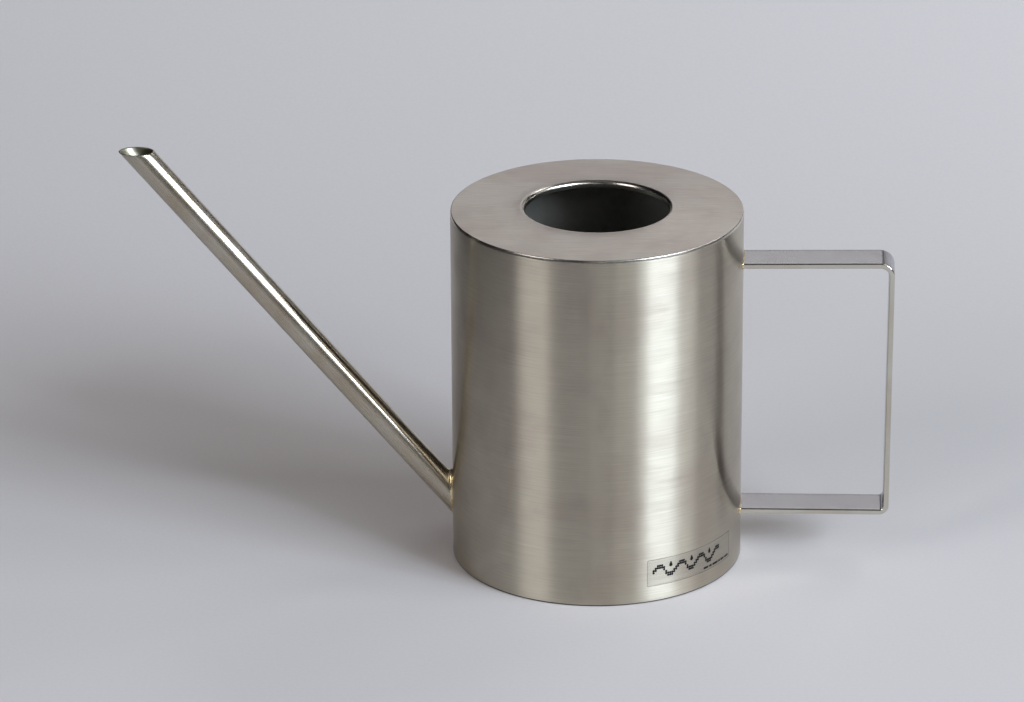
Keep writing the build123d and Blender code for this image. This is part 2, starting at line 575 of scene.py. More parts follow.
@dataclass
class CanBody:
    """Rolled wall with the spout's hole, flat base, and top ring with its turned-down lip.

    Attributes:
        size: sizes from the frame.
        columns: steps round the axis.
        foot_rounding: radius of the wall's outer lower edge.
        rim_rounding: radius of the top ring's outer corner.
        shoulder: height over which pressing drew the ring's skirt in below that corner, and how far in.
        ring_rise: climb of the ring from its outer corner to the mouth.
        lip_rounding: radius of the mouth's top edge.
        lip_flare: f in the cone's sag, which is 0.62 f at its deepest.
        lip_depth: from the top of the lip to the end of its collar.
        base_edge: radius of the base's lower edge.
        waviness: height of the slow waves that rolling leaves in the wall.
        window: half width and half height of the wall stretch that is rebuilt round the spout's hole.
        upright: faces whose normals rise or fall by less than this count as upright.
        foot_tilt: faces whose normals point lower than this are the foot rounding, painted dark as contact
            shade.
        lip_tilt: the buffed lip ends where its normals point lower than this.
        lip_share: reach of the buffed lip beyond the mouth, as a share of its rounding.
    """

    size: Design
    columns: int = 480
    foot_rounding: float = 0.6 * MM
    rim_rounding: float = 0.3 * MM
    shoulder: Pair = (1.3 * MM, 0.2 * MM)
    ring_rise: float = 1.2 * MM
    lip_rounding: float = 1.5 * MM
    lip_flare: float = 0.35 * MM
    lip_depth: float = 2.6 * MM
    base_edge: float = 0.15 * MM
    waviness: float = 0.03 * MM
    window: Pair = (9.0 * MM, 15.0 * MM)
    upright: float = 0.1
    foot_tilt: float = -0.15
    lip_tilt: float = -0.5
    lip_share: float = 0.45

    def build(self) -> dict[str, Piece]:
        """Build the can's three sheets."""
        return {"wall": self.wall(), "ring": self.top_ring(), "base": self.base()}

    def dress(self, made: dict[str, Piece]) -> None:
        """Brushed steel outside, straight on the ring, buffed at edges; mill finish inside; painted contact
        shade on the foot.
        """
        mill = MillSteel().material()
        brushed = BrushedSteel("belt_brushed_stainless_wall").material()
        ring = BrushedSteel(
            "fine_brushed_stainless_ring", colour="#C9C1BA", cloud="#B5A49D", cloud_share=0.5, stretch=0.2,
            roughness=0.33, grain=Grain.STRAIGHT, scratch_length_mm=12.0, scratch_pitch_mm=0.5,
            scratch_tone=0.14, scratch_depth_mm=0.004,
        )
        buffed = BrushedSteel(
            "buffed_stainless_edge", colour="#CFC9BE", roughness=0.24, stretch=0.2, scratch_depth_mm=0.0005,
            scratch_tone=0.04,
        )
        dress(made["wall"], brushed, "brushed_can_steel", "body_wall")
        dress(made["ring"], ring.material(), "brushed_ring_steel", "top_ring")
        dress(made["base"], mill, "inner_steel", "base_plate")
        size = self.size
        radius, tilt = self.face_places(made["wall"])
        paint(made["wall"], radius < (size.radius + size.inside) / 2, mill)
        # Painted shade: the foot rounding is coloured dark to stand in for the contact shadow where the can
        # meets the floor.
        foot_contact_shade = MillSteel("painted_shade_foot_edge", colour="#6A665F", stain="#4E4A44", roughness=0.5)
        paint(made["wall"], (radius > size.inside) & (tilt < self.foot_tilt), foot_contact_shade.material())
        radius, tilt = self.face_places(made["ring"])
        paint(made["ring"], (radius > size.inside) & (np.abs(tilt) < self.upright), brushed)
        rim = (radius > size.radius - self.shoulder[1] - self.rim_rounding) & (tilt >= self.upright)
        lip = (radius < size.mouth_radius + self.lip_share * self.lip_rounding) & (tilt > self.lip_tilt)
        paint(made["ring"], rim | lip, buffed.material())

    @staticmethod
    def face_places(piece: Piece) -> tuple[Array, Array]:
        """Distance of every face from the axis, and the upward part of its normal."""
        centres = face_vectors(piece, "center")
        return np.hypot(centres[:, 0], centres[:, 1]), face_vectors(piece, "normal")[:, 2]

    def hole(self, radius: float, bearings: Array) -> Array:
        """Edge of the spout's hole in a skin of the given radius, unrolled flat.

        A circle of points the size of the tube runs along the tube's axis to the skin, and the edge is
        read off at the asked bearings, seen from the hole's middle.

        Args:
            radius: radius of the skin.
            bearings: angles in radians on the unrolled skin.

        Returns:
            (n, 2) arc length from the -X direction, and height.
        """
        ring = self.size.tube_ring(self.size.spout_radius, np.linspace(0, 2 * np.pi, 720, endpoint=False))
        edge = ring + reach_cylinder(ring, self.size.spout_axis, radius)[:, None] * self.size.spout_axis
        flat = self.unroll(edge, radius)
        ray = flat - (flat.max(0) + flat.min(0)) / 2
        angle = np.arctan2(ray[:, 1], ray[:, 0]) % (2 * np.pi)
        order = np.argsort(angle)
        turn = 2 * np.pi
        found = [np.interp(bearings % turn, angle[order], flat[order, k], period=turn) for k in (0, 1)]
        return np.stack(found, axis=1)

    def hole_middle(self, radius: float) -> Array:
        """Middle of the hole on the unrolled skin."""
        edge = self.hole(radius, np.linspace(0, 2 * np.pi, 360))
        return (edge.max(0) + edge.min(0)) / 2

    @staticmethod
    def unroll(points: Array, radius: float) -> Array:
        """Arc length from the -X direction, and height, of points on the can."""
        return np.stack([radius * np.arctan2(points[..., 1], -points[..., 0]), points[..., 2]], axis=-1)

    @staticmethod
    def roll(flat: Array, radius: float) -> Array:
        """Points on the can from arc length and height: the inverse of unroll."""
        turn = flat[..., 0] / radius
        return np.stack([-radius * np.cos(turn), radius * np.sin(turn), flat[..., 1]], axis=-1)

    def wall(self) -> Piece:
        """The rolled wall: a closed profile turned about Z, with a window rebuilt round the hole.

        Round the axis the radius is R + w sin(pi z / h) (sin(3t + 1) + sin(5t + 2.2) / 2 + ...), so the
        sheet is as slightly wavy as a rolled one. The window's perimeter, taken on both skins, is
        joined to the hole's edge by rings of points that slide evenly from one to the other.
        """
        s = self.size
        low_rows = np.arange(3 * MM, 42 * MM, 1.5 * MM)
        high_rows = np.arange(43 * MM, s.wall_top - MM, 2.5 * MM)
        heights = np.concatenate([[self.foot_rounding], low_rows, high_rows, [s.wall_top]])
        foot = arc((s.radius - self.foot_rounding, self.foot_rounding), self.foot_rounding, -90, 0, 6)[:-1]
        outer = np.stack([np.full(len(heights), s.radius), heights], axis=1)
        inner_heights = np.concatenate([[0.0], heights[1:]])[::-1]
        inner = np.stack([np.full(len(heights), s.inside), inner_heights], axis=1)
        profile = np.vstack([foot, outer, inner])
        rows, cols = len(profile), self.columns
        turn = np.linspace(0, 2 * np.pi, cols, endpoint=False)
        level = profile[:, 1, None]
        wave = np.sin(3 * turn + 1.0) + 0.5 * np.sin(5 * turn + 2.2)
        wave = wave + 0.35 * np.sin(8 * turn + 0.4 + 12 * level)
        radius = profile[:, 0, None] + self.waviness * np.sin(np.pi * level / s.wall_top) * wave
        level = np.broadcast_to(level, radius.shape)
        points = np.stack([radius * np.cos(turn), radius * np.sin(turn), level], axis=2).reshape(-1, 3)
        faces = grid_faces(rows, cols, True, True)
        around = np.linspace(0, 2 * np.pi, cols + 1) * s.radius
        uv = grid_uv(running(profile, True), around)[:, :, ::-1]

        middle = self.hole_middle(s.radius)
        half = int(round(self.window[0] / s.radius / (2 * np.pi / cols)))
        left, right = cols // 2 - half, cols // 2 + half
        band = np.flatnonzero(np.abs(heights - middle[1]) < self.window[1])
        outer_rows = (len(foot) + band[0], len(foot) + band[-1])
        inner_rows = (rows - 1 - band[0], rows - 1 - band[-1])
        face_row, face_col = np.divmod(np.arange(len(faces)), cols)
        in_window = ((face_row >= outer_rows[0]) & (face_row < outer_rows[1])) | (
            (face_row >= inner_rows[1]) & (face_row < inner_rows[0])
        )
        kept = ~(in_window & (face_col >= left) & (face_col < right))
        outer_loop = self.perimeter(left, right, *outer_rows, cols)
        inner_loop = self.perimeter(left, right, *inner_rows, cols)
        rings = self.hole_rings(points, outer_loop, inner_loop)
        ring_ids = len(points) + np.arange(rings.shape[0] * rings.shape[1]).reshape(rings.shape[:2])
        ids = np.vstack([outer_loop, ring_ids, inner_loop])
        points = np.vstack([points, rings.reshape(-1, 3)])
        strip = ids.ravel()[grid_faces(*ids.shape, False, True)][:, ::-1]
        corner = points[strip]
        strip_uv = self.unroll(corner, s.radius) + np.array([np.pi * s.radius, 0.0])
        faces, uv = np.vstack([faces[kept], strip]), np.concatenate([uv[kept], strip_uv])
        return put_mesh("can_wall", points, faces, uv)

    @staticmethod
    def perimeter(left: int, right: int, start: int, end: int, cols: int) -> Array:
        """Point numbers once round a window of the grid: along its first row, up, back and down."""
        step = 1 if end > start else -1
        across, along = np.arange(left, right), np.arange(start, end, step)
        first, last = start * cols + across, end * cols + across[::-1] + 1
        return np.concatenate([first, along * cols + right, last, (along[::-1] + step) * cols + left])

    def hole_rings(self, points: Array, outer_loop: Array, inner_loop: Array) -> Array:
        """Rings from the outer window to the hole, through the sheet, and out to the inner window.

        On each skin a ring is p (1 - k) + h k on the unrolled sheet, where p is the window's
        perimeter, h the hole's edge at the same bearing, and k the 0.8th power of even steps up to
        1, which sets the rings a little closer towards the hole.
        """
        share = np.linspace(0, 1, 9)[1:, None, None] ** 0.8
        skins = []
        for loop, radius in ((outer_loop, self.size.radius), (inner_loop, self.size.inside)):
            flat = self.unroll(points[loop], radius)
            ray = flat - self.hole_middle(radius)
            hole = self.hole(radius, np.arctan2(ray[:, 1], ray[:, 0]))
            skins.append(self.roll(flat * (1 - share) + hole * share, radius))
        return np.concatenate([skins[0], skins[1][::-1]])

    def top_ring(self) -> Piece:
        """The top ring: skirt, drawn-in shoulder, rounded corner, shallow cone, lip and collar.

        The shoulder leans in as k t^2 while t climbs from 0 to 1. The cone's line runs from the corner's
        arc to the lip's with a sag of f (t - t^7), so it is nearly straight until it curls up into the
        lip, and both arcs are tangent to it. The inner line follows one sheet thickness in.
        """
        s = self.size
        sheet = s.radius - s.inside
        width = s.radius - s.mouth_radius
        slope = math.atan2(self.ring_rise, width)
        sharp_top = s.lip_top + self.lip_rounding * (math.tan(slope) + 1 / math.cos(slope) - 1)
        corner = sharp_top - self.ring_rise
        tall, lean = self.shoulder
        tilt = math.atan2(2 * lean, tall)
        rim_slope, lip_slope = slope - self.lip_flare / width, slope + 6 * self.lip_flare / width
        rim_x = s.radius - lean - self.rim_rounding * math.cos(tilt)
        rim = (rim_x, corner + (s.radius - rim_x) * math.tan(slope) - self.rim_rounding / math.cos(slope))
        lip = (s.mouth_radius + self.lip_rounding, s.lip_top - self.lip_rounding)
        collar_end = sharp_top - self.lip_depth
        rim_arc = arc(rim, self.rim_rounding, math.degrees(tilt), 90 - math.degrees(rim_slope), 12)
        lip_arc = arc(lip, self.lip_rounding, 90 - math.degrees(lip_slope), 180, 16)
        climb = np.linspace(0, 1, 10)[:-1, None]
        shoulder = rim_arc[0] + np.hstack([lean * (1 - climb**2), tall * (climb - 1)])
        t = np.linspace(0, 1, 50)[1:-1, None]
        cone = rim_arc[-1] * (1 - t) + lip_arc[0] * t
        cone[:, 1:] -= self.lip_flare * (t - t**7)
        outer = np.vstack([
            [[s.radius, s.wall_top]],
            straight((s.radius, s.wall_top), shoulder[0], 2),
            shoulder,
            rim_arc,
            cone,
            lip_arc,
            straight(lip_arc[-1], (s.mouth_radius, collar_end), 3),
            [[s.mouth_radius, collar_end]],
        ])
        rim_back = np.array([[s.inside, corner - sheet / math.tan(math.pi / 4 + slope / 2)]])
        lip_back = arc(lip, self.lip_rounding - sheet, 90 - math.degrees(slope), 180, 8)
        inner = np.vstack([
            [[s.inside, s.wall_top]],
            rim_back,
            straight(rim_back[-1], lip_back[0], 16),
            lip_back,
            [[s.mouth_radius + sheet, collar_end]],
        ])
        return turned("can_top_ring", np.vstack([outer, inner[::-1]]), self.columns, True)

    def base(self) -> Piece:
        """The flat base: a disc whose profile runs from the axis out, round its edge and back."""
        s, edge = self.size, self.base_edge
        profile = np.vstack([
            [[0.0, 0.0]],
            straight((0, 0), (s.inside - edge, 0), 24),
            arc((s.inside - edge, edge), edge, -90, 0, 5),
            [[s.inside, s.base_sheet]],
            straight((s.inside, s.base_sheet), (0, s.base_sheet), 24),
            [[0.0, s.base_sheet]],
        ])
        return turned("can_base", profile, self.columns // 2, False)


# ------------------------------------------------------------------------------------ brazed-on pieces


def corner_bead(name: str, ring: Array, normals: Array, direction: Array, wall: float, ball: Array) -> Piece:
    """Braze bead in the corner between the can's wall and a piece that stands on it.

    A ball of changing size rolls round the piece, touching it and the wall. Its centre is
    ring + ball n + s d, where s makes the centre wall + ball from the axis. The bead's face is the arc
    of the ball between its two contacts, and its back is a point just under the corner.

    Args:
        name: piece name.
        ring: (n, 3) closed line round the piece, anywhere along it.
        normals: (n, 3) outward normals of the piece at those points.
        direction: (3,) unit vector along the piece, away from the can.
        wall: radius of the can's wall.
        ball: (n,) radius of the ball at each point.

    Returns:
        The closed bead.
    """
    centre = ring + ball[:, None] * normals
    centre = centre + reach_cylinder(centre, direction, wall + ball)[:, None] * direction
    outward = unit(centre * np.array([1.0, 1.0, 0.0]))
    share = np.linspace(0, 1, 9)[:, None, None]
    face = centre - ball[:, None] * unit(normals * (1 - share) + outward * share)
    corner = ring + reach_cylinder(ring, direction, wall)[:, None] * direction
    back = corner - BEAD_OVERLAP * (normals + outward)
    points = np.concatenate([face, back[None]])
    uv = grid_uv(running(points[:, 0], True), running(ring, True))
    return put_mesh(name, points.reshape(-1, 3), grid_faces(*points.shape[:2], True, True), uv)


@dataclass
class PouringSpout:
    """Straight drawn tube let into the wall low down, cut level at its tip, and its braze.

    Attributes:
        size: sizes from the frame.
        columns: steps round the tube.
        rows: steps along it.
        tip_rounding: radius that polishing leaves on the tip's edges.
        bead: mean radius of the braze fillet.
    """

    size: Design
    columns: int = 96
    rows: int = 110
    tip_rounding: float = 0.2 * MM
    bead: float = 1.1 * MM

    def build(self) -> dict[str, Piece]:
        """Build the tube and its bead."""
        return {"tube": self.tube(), "bead": self.braze()}

    def dress(self, made: dict[str, Piece]) -> None:
        """Steel brushed along the tube, and bare braze."""
        steel = BrushedSteel(
            "drawn_stainless_tube", colour="#BFB8AA", cloud="#A8977F", cloud_share=0.5, stretch=0.85,
            roughness=0.27, grain=Grain.SPUN, scratch_pitch_mm=0.5, scratch_length_mm=14.0,
            scratch_depth_mm=0.0002,
        )
        dress(made["tube"], steel.material(), "drawn_tube_steel", "spout_tube")
        bore = MillSteel("mill_finish_tube_bore", colour="#A9A592", stain="#7E7A68")
        paint(made["tube"], self.bore_faces(made["tube"]), bore.material())
        dress(made["bead"], SilverBraze().material(), "silver_braze", "spout_braze")

    def bore_faces(self, tube: Piece) -> Array:
        """Which of the tube's faces lie nearer to its axis than the middle of its sheet."""
        ray = face_vectors(tube, "center") - self.size.spout_point
        off_axis = np.linalg.norm(np.cross(ray, self.size.spout_axis), axis=1)
        return off_axis < (self.size.spout_radius + self.size.spout_bore) / 2

    def tube(self) -> Piece:
        """The tube: circles carried along the axis from the wall's inside to the level cut.

        Each column starts where it meets the inside of the wall and ends where its height is the
        tip's. At the tip the radius and the cut follow two quarter circles, outside and inside.
        """
        s, e = self.size, self.tip_rounding
        turn = np.linspace(0, 2 * np.pi, self.columns, endpoint=False)
        quarter = np.linspace(0, np.pi / 2, 5)
        run = np.linspace(0, 1, self.rows)
        radii = np.concatenate([
            np.full(self.rows, s.spout_radius),
            s.spout_radius - e * (1 - np.cos(quarter[1:])),
            s.spout_bore + e * (1 - np.cos(quarter[::-1][:-1])),
            np.full(self.rows, s.spout_bore),
        ])
        sine = np.sin(quarter)
        back = e * np.concatenate([np.ones(self.rows), 1 - sine[1:], 1 - sine[:0:-1], np.ones(self.rows)])
        share = np.concatenate([run, np.ones(2 * len(quarter) - 2), run[::-1]])
        ring = np.stack([s.tube_ring(r, turn) for r in radii])
        start = reach_cylinder(ring, s.spout_axis, s.inside)
        end = (s.spout_tip - ring[:, :, 2]) / s.spout_axis[2] - back[:, None]
        along = start * (1 - share[:, None]) + end * share[:, None]
        points = ring + along[:, :, None] * s.spout_axis
        length = np.concatenate([along[:, 0], along[:1, 0]])
        uv = grid_uv(length, np.linspace(0, 2 * np.pi, self.columns + 1) * s.spout_radius)
        return put_mesh("spout_pipe", points.reshape(-1, 3), grid_faces(*points.shape[:2], True, True), uv)

    def braze(self) -> Piece:
        """The bead round the tube's root, a little uneven, as a hand-fed rod leaves it.

        Its radius at bearing t round the tube is b (1 + 0.1 sin(3t + 0.5) + 0.06 sin(7t)).
        """
        s = self.size
        turn = np.linspace(0, 2 * np.pi, 120, endpoint=False)
        normals = unit(s.tube_ring(1.0, turn) - s.spout_point)
        ball = self.bead * (1 + 0.1 * np.sin(3 * turn + 0.5) + 0.06 * np.sin(7 * turn))
        ring = s.tube_ring(s.spout_radius, turn)
        return corner_bead("spout_root_bead", ring, normals, s.spout_axis, s.radius, ball)


@dataclass
class StrapHandle:
    """One flat bar bent twice into a C, its ends coped to the wall and brazed.

    Attributes:
        size: sizes from the frame.
        thickness: of the bar.
        rounding: radius of the bar's long edges.
        arm_heights: middle of the upper and the lower arm where they meet the wall.
        arm_tilts: climb of each arm away from the can, in degrees.
        grip_reach: from the wall to the middle of the grip, at its upper and its lower corner.
        bends: outside radius of the upper and the lower bend.
        beads: radius of the braze along the bar's flats, and at its narrow edges.
        path_start: distance from the wall at which the bar's own section begins.
    """

    size: Design
    thickness: float = 2.0 * MM
    rounding: float = 0.45 * MM
    arm_heights: Pair = (116.65 * MM, 18.96 * MM)
    arm_tilts: Pair = (0.92, 0.25)
    grip_reach: Pair = (54.6 * MM, 54.1 * MM)
    bends: Pair = (5.3 * MM, 3.6 * MM)
    beads: Pair = (0.5 * MM, 0.9 * MM)
    path_start: float = 0.6 * MM

    def build(self) -> dict[str, Piece]:
        """Build the bar and its two beads."""
        bar = self.bar()
        upper, lower = self.bead("upper_arm_bead", 0), self.bead("lower_arm_bead", 1)
        return {"bar": bar, "upper": upper, "lower": lower}

    def dress(self, made: dict[str, Piece]) -> None:
        """Steel brushed along the bar, burnished on its narrow sides, and bare braze."""
        steel = BrushedSteel(
            "brushed_stainless_flat_bar", colour="#AEACB0", cloud="#A19DA2", roughness=0.22, stretch=0.5,
            grain=Grain.ALONG, scratch_pitch_mm=0.4, scratch_length_mm=14.0, scratch_depth_mm=0.001,
            scratch_tone=0.06,
        )
        burnished = BrushedSteel(
            "burnished_stainless_bar_edge", colour="#D0CCC0", cloud="#B8AA94", roughness=0.13, stretch=0.3,
            grain=Grain.ALONG, scratch_pitch_mm=0.3, scratch_length_mm=14.0, scratch_depth_mm=0.0004,
            scratch_tone=0.05,
        )
        dress(made["bar"], steel.material(), "flat_bar_steel", "handle_strap")
        narrow = np.abs(face_vectors(made["bar"], "center")[:, 1]) > self.size.strap_width / 2 - self.rounding
        paint(made["bar"], narrow, burnished.material())
        braze = SilverBraze().material()
        dress(made["upper"], braze, "silver_braze", "upper_arm_braze")
        dress(made["lower"], braze, "silver_braze", "lower_arm_braze")

    def arm_line(self, arm: int, x: Array | float, side: float) -> Array | float:
        """Height of an arm at a distance x from the axis: its middle, or a face half a thickness off."""
        climb = math.tan(math.radians(self.arm_tilts[arm])) * (x - self.size.radius)
        return self.arm_heights[arm] + climb + side * self.thickness / 2

    def section(self) -> tuple[Array, Array]:
        """The bar's section as a closed line: width and depth below the outer face, and its normals.

        Four quarter circles joined by straight runs, with extra points along the two wide sides.
        """
        half, deep, r = self.size.strap_width / 2, self.thickness, self.rounding
        side, foot = half - r, r - deep
        corners = [((side, -r), 90), ((side, foot), 0), ((-side, foot), -90), ((-side, -r), -180)]
        points, normals = [], []
        for k, (centre, start) in enumerate(corners):
            bend = arc(centre, r, start, start - 90, 6)
            points.append(bend)
            normals.append(unit(bend - np.array(centre)))
            after = arc(corners[(k + 1) % 4][0], r, corners[(k + 1) % 4][1], corners[(k + 1) % 4][1], 1)[0]
            flat = straight(bend[-1], after, 10 if k % 2 else 1)
            points.append(flat)
            normals.append(np.repeat(normals[-1][-1:], len(flat), axis=0))
        return np.vstack(points), np.vstack(normals)

    def path(self) -> tuple[Array, Array]:
        """Outer face of the bar in the XZ plane, with unit tangents: three runs joined by two arcs."""
        s = self.size
        outer = [s.radius + reach + self.thickness / 2 for reach in self.grip_reach]
        start = s.radius + self.path_start
        corners = np.array([
            [start, self.arm_line(0, start, 1)],
            [outer[0], self.arm_line(0, outer[0], 1)],
            [outer[1], self.arm_line(1, outer[1], -1)],
            [start, self.arm_line(1, start, -1)],
        ])
        headings = unit(np.diff(corners, axis=0))
        points, tangents, at = [], [], corners[0]
        for k, radius in enumerate(self.bends):
            into, out = headings[k], headings[k + 1]
            turn = math.acos(float(into @ out))
            cut = radius * math.tan(turn / 2)
            begin = corners[k + 1] - cut * into
            count = max(8, int(np.linalg.norm(begin - at) / (2 * MM)))
            run = np.linspace(0, 1, count, endpoint=False)[:, None]
            points.append(at * (1 - run) + begin * run)
            tangents.append(np.repeat(into[None], count, axis=0))
            inward = np.array([into[1], -into[0]])
            angle = np.linspace(0, turn, 24, endpoint=False)[:, None]
            centre = begin + radius * inward
            points.append(centre + radius * (into * np.sin(angle) - inward * np.cos(angle)))
            tangents.append(into * np.cos(angle) + inward * np.sin(angle))
            at = corners[k + 1] + cut * out
        run = np.linspace(0, 1, 26)[:, None]
        points.append(at * (1 - run) + corners[3] * run)
        tangents.append(np.repeat(headings[2][None], 26, axis=0))
        return np.vstack(points), np.vstack(tangents)

    def bar(self) -> Piece:
        """The bar: its section carried along the path, each end run back along its arm to the wall.

        A section point (w, d) stands at p + w Y + d N, with N the path's outward normal. The end
        rings slide along the arm until they are one wall radius from the axis.
        """
        section = self.section()[0]
        path, tangents = self.path()
        place, heading = np.insert(path, 1, 0.0, axis=1), np.insert(tangents, 1, 0.0, axis=1)
        normal = np.stack([-heading[:, 2], np.zeros(len(heading)), heading[:, 0]], axis=1)
        points = (
            place[:, None]
            + section[None, :, :1] * np.array([0.0, 1.0, 0.0])
            + section[None, :, 1:] * normal[:, None]
        )
        ends = []
        for row, out in ((0, heading[0]), (-1, -heading[-1])):
            ring = points[row]
            ring = ring + reach_cylinder(ring, out, self.size.radius)[:, None] * out
            ends.append((np.repeat(ring.mean(0)[None], len(ring), axis=0), ring))
        points = np.concatenate([[ends[0][0]], [ends[0][1]], points, [ends[1][1]], [ends[1][0]]])
        along = running(points[:, 0], False)
        uv = grid_uv(along, running(section, True))
        return put_mesh("handle_bar", points.reshape(-1, 3), grid_faces(*points.shape[:2], False, True), uv)

    def bead(self, name: str, arm: int) -> Piece:
        """Braze round one arm's root: thin along the flats, fuller at the narrow edges.

        Its radius is b0 + (b1 - b0) e^12, where e runs from 0 at the bar's middle to 1 at its edges.
        """
        section, normals = self.section()
        tilt = math.radians(self.arm_tilts[arm])
        direction = np.array([math.cos(tilt), 0.0, math.sin(tilt)])
        up = np.array([-math.sin(tilt), 0.0, math.cos(tilt)])
        start = self.size.radius + 2 * MM
        middle = np.array([start, 0.0, self.arm_line(arm, start, 0)])
        side = np.array([0.0, 1.0, 0.0])
        ring = middle + section[:, :1] * side + (section[:, 1:] + self.thickness / 2) * up
        outward = normals[:, :1] * side + normals[:, 1:] * up
        edge = np.abs(section[:, 0]) / (self.size.strap_width / 2)
        ball = self.beads[0] + (self.beads[1] - self.beads[0]) * edge**12
        return corner_bead(name, ring, outward, direction, self.size.radius, ball)


# ------------------------------------------------------------------------------------------- the label


@dataclass
class Label:
    """Clear film on the wall's lower front, printed with a plain dotted wave, drops and rules.

    Attributes:
        size: sizes from the frame.
        bearing: degrees round the can from the front towards the handle, start and end.
        corner: radius of the film's corners.
        sunk: how far the film's back lies inside the slightly wavy wall, so that no gap shows.
        ink_thickness: of the print.
        edge: width of the adhesive line along the film's edge.
        dots: columns of dots in the wave.
        pitch: spacing of the print's dots.
        dot: radius of a dot.
        wave_place: column 0 of the wave from the film's left end, and row 0 from its foot.
        drop_columns: columns above which the drops hang.
        drop_height: middle of the drops above the film's foot.
        drop: radius of a drop.
        bars_from_end: start of the row of bars, from the film's right end.
        bar_lengths_mm: the bars, from left to right.
        bar_low: foot of the bars above the film's foot.
        bar_height: height of a bar.
        bar_gap: space between two bars.
        steps: points on the outline of each dot, drop or bar.
    """

    size: Design
    bearing: Pair = (22.0, 67.5)
    corner: float = 0.6 * MM
    sunk: float = 0.03 * MM
    ink_thickness: float = 0.015 * MM
    edge: float = 0.2 * MM
    dots: int = 38
    pitch: float = 0.86 * MM
    dot: float = 0.46 * MM
    wave_place: Pair = (2.6 * MM, 4.3 * MM)
    drop_columns: tuple[float, ...] = (8.3, 19.3, 30.3)
    drop_height: float = 7.3 * MM
    drop: float = 0.7 * MM
    bars_from_end: float = 17.4 * MM
    bar_lengths_mm: tuple[float, ...] = (2.6, 1.4, 3.2, 1.0, 2.2, 2.8)
    bar_low: float = 0.9 * MM
    bar_height: float = 0.8 * MM
    bar_gap: float = 0.6 * MM
    steps: int = 14

    def build(self) -> dict[str, Piece]:
        """Build the film and its print."""
        return {"film": self.film(), "edge": self.edge_line(), "print": self.print()}

    def dress(self, made: dict[str, Piece]) -> None:
        """Clear film, black ink."""
        dress(made["film"], ClearFilm().material(), "clear_film", "label_film")
        adhesive = ClearFilm("dusty_adhesive_line", colour="#5A564E", roughness=0.5, cover=0.26)
        dress(made["edge"], adhesive.material(), "clear_film")
        dress(made["print"], ScreenInk().material(), "clear_film")

    def extent(self) -> tuple[Array, Array]:
        """Lower left and upper right corner of the film: arc length from the front (-Y), and height."""
        ends = np.radians(self.bearing) * self.size.radius
        return np.array([ends[0], self.size.film_low]), np.array([ends[1], self.size.film_high])

    def stand(self, flat: Array, level: Array | float) -> Array:
        """Points at a given radius from arc length and height: (a, z) stands at bearing a / R."""
        turn = flat[..., 0] / self.size.radius
        return np.stack([level * np.sin(turn), -level * np.cos(turn), flat[..., 1]], axis=-1)

    def wrap(self, name: str, outlines: Array, inner: float, outer: float, rings: int) -> Piece:
        """Thin closed patches on the can, each an outline filled from its middle outwards.

        A patch runs from a pole at its middle, over rings k (outline - middle), down its edge, and
        back under to a second pole.

        Args:
            name: piece name.
            outlines: (m, n, 2) closed outlines, arc length from the front (-Y) and height.
            inner: radius of the underside.
            outer: radius of the face.
            rings: number of rings between middle and outline.

        Returns:
            One object that holds every patch.
        """
        count, steps = outlines.shape[:2]
        middle = outlines.mean(axis=1, keepdims=True)
        share = np.linspace(0, 1, rings + 1)[:, None, None, None]
        over = middle + share * (outlines - middle)
        flat = np.concatenate([over, over[::-1]])
        level = np.concatenate([np.full(rings + 1, outer), np.full(rings + 1, inner)])[:, None, None]
        points = self.stand(flat, level).transpose(1, 0, 2, 3)
        faces = grid_faces(2 * rings + 2, steps, False, True)
        offsets = np.arange(count)[:, None, None] * (2 * rings + 2) * steps
        return put_mesh(name, points.reshape(-1, 3), (faces[None] + offsets).reshape(-1, 4))

    def rounded(self, low: Array, high: Array, radius: float) -> Array:
        """A rectangle with rounded corners as 96 points, evenly many along each side."""
        right, top, left, bottom = high[0] - radius, high[1] - radius, low[0] + radius, low[1] + radius
        centres = [(right, bottom), (right, top), (left, top), (left, bottom)]
        bends = [arc(c, radius, -90 + 90 * k, 90 * k, 6) for k, c in enumerate(centres)]
        sides = [straight(bends[k][-1], bends[(k + 1) % 4][0], 18) for k in range(4)]
        return np.vstack([part for pair in zip(bends, sides) for part in pair])

    def box_outline(self, low: Array, high: Array) -> Array:
        """A rectangle as a closed line with as many points as a dot, from its lower left corner on."""
        run = np.linspace(0, 1, self.steps, endpoint=False) * 4
        side, t = np.floor(run).astype(int), (run % 1)[:, None]
        corners = np.array([low, [high[0], low[1]], high, [low[0], high[1]]])
        return corners[side] * (1 - t) + corners[(side + 1) % 4] * t

    def film(self) -> Piece:
        """The film, corner to corner of the design's box."""
        s = self.size
        outline = self.rounded(*self.extent(), self.corner)
        return self.wrap("label_skin", outline[None], s.radius - self.sunk, s.film_radius, 28)

    def edge_line(self) -> Piece:
        """Adhesive that has crept out along the film's edge and holds dust: a closed thin frame.

        Its four running lines are the film's outline at the film's back and face, and the outline
        moved in by the line's width, just above the face and at the back.
        """
        s = self.size
        low, high = self.extent()
        outer = self.rounded(low, high, self.corner)
        inner = self.rounded(low + self.edge, high - self.edge, self.corner - self.edge / 2)
        back, face, lifted = s.radius - self.sunk, s.film_radius, s.film_radius + 2 * self.ink_thickness
        lines = ((outer, back), (outer, face), (inner, lifted), (inner, back))
        points = np.vstack([self.stand(line, level) for line, level in lines])
        return put_mesh("label_edge", points, grid_faces(len(lines), len(outer), True, True))

